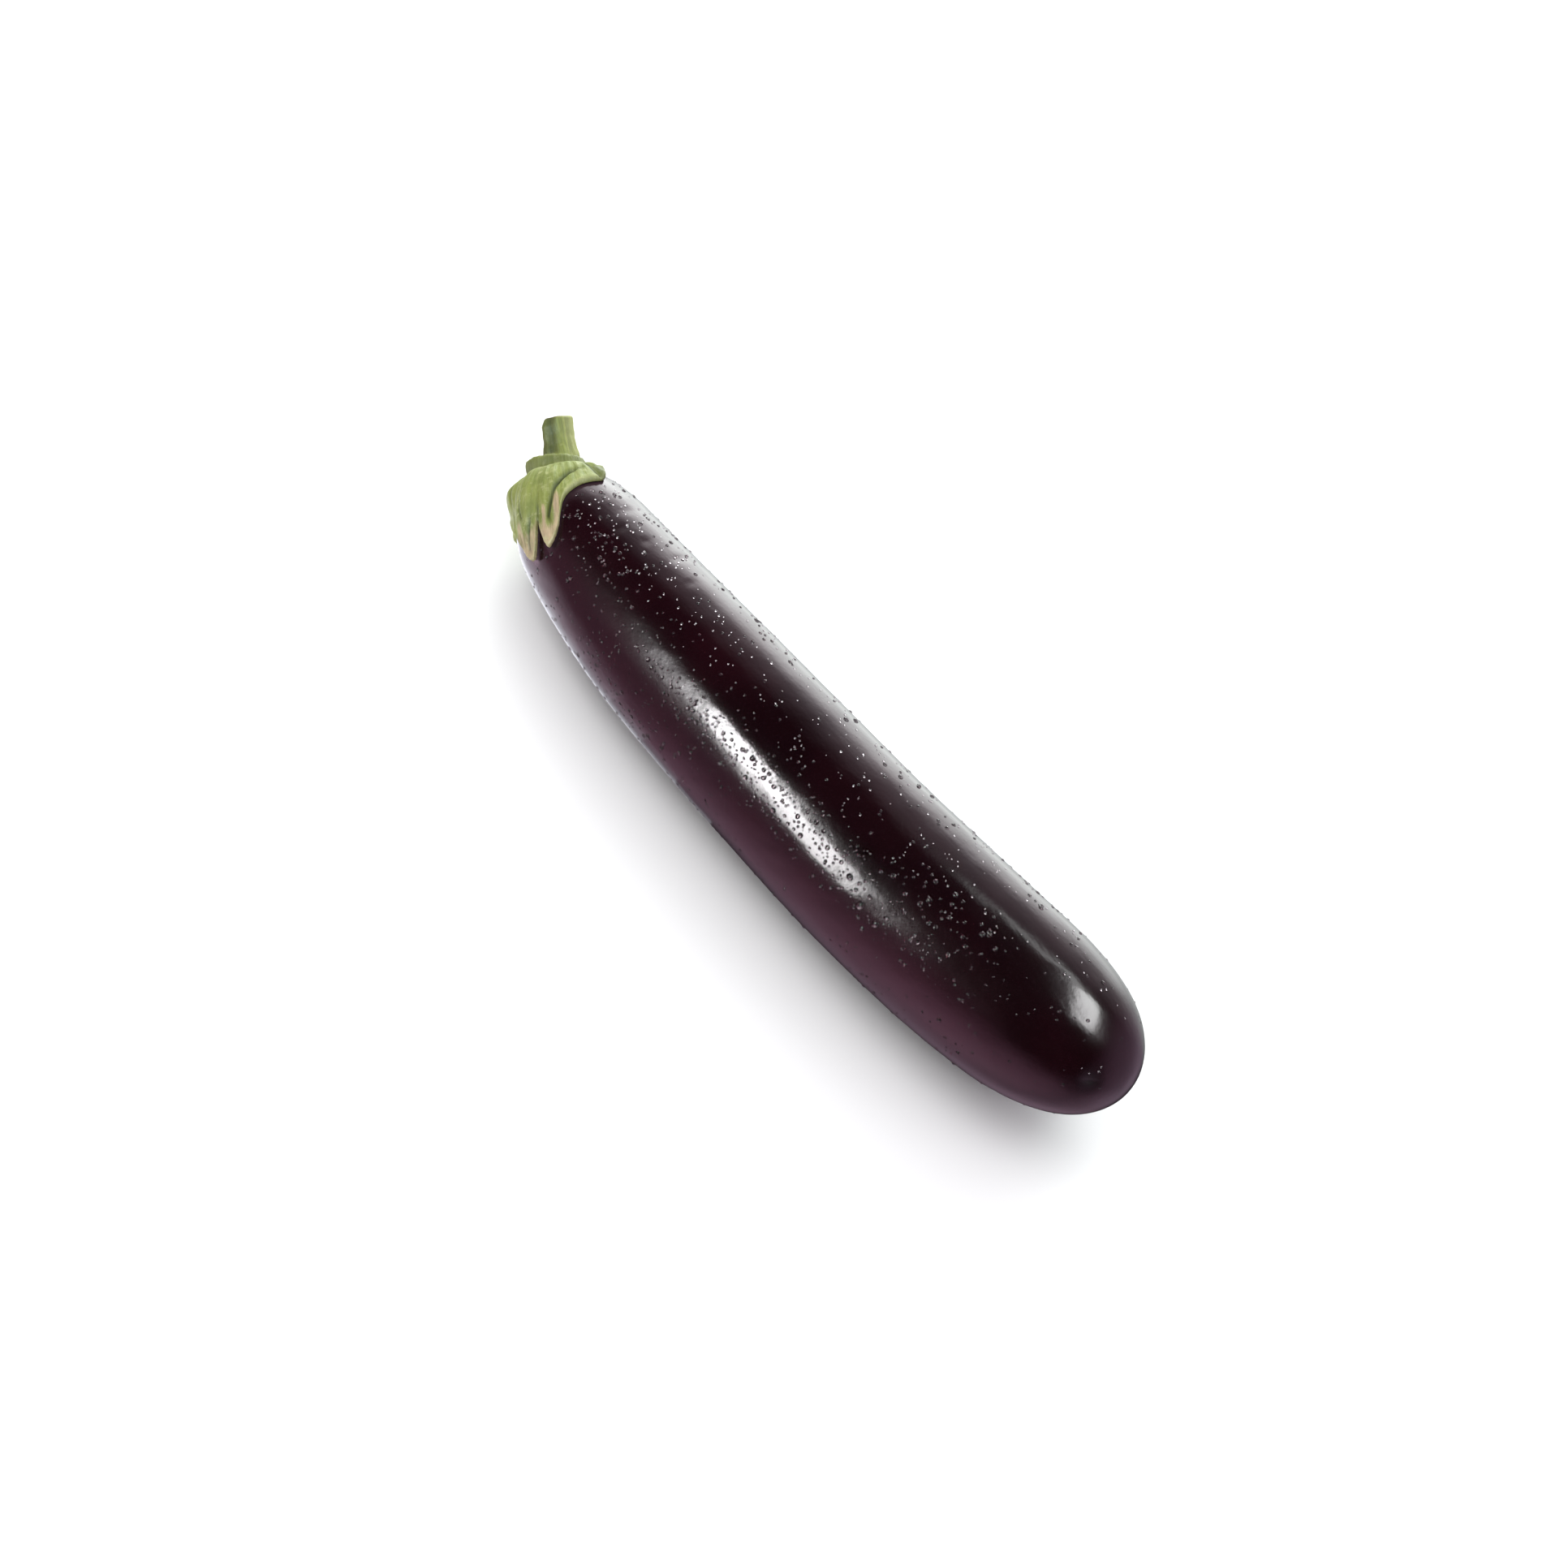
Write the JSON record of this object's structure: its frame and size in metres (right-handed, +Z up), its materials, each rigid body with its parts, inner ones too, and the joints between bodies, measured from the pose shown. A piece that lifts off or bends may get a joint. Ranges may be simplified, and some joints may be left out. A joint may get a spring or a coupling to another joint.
{
  "type": "eggplant",
  "caption": "Long, slender, slightly bent eggplant with a glossy dark skin, a green calyx of pointed sepals and a short cut stalk, lying on its side.",
  "frame": {"origin": "under the middle of the whole eggplant, on the surface that it lies on", "axes": "+X along the eggplant from its stalk to its blossom end, +Z up"},
  "size_m": [0.2562, 0.0566, 0.0516],
  "materials": {
    "skin": "smooth waxy skin, glossy and almost black with a maroon tint",
    "calyx": "matt green, streaked lengthwise, dried to tan at the torn tips",
    "stalk": "matt green and ribbed, with a paler cut end"
  },
  "bodies": {
    "root": {"fruit": "skin", "calyx": "calyx", "stalk": "stalk"}
  },
  "joints": []
}
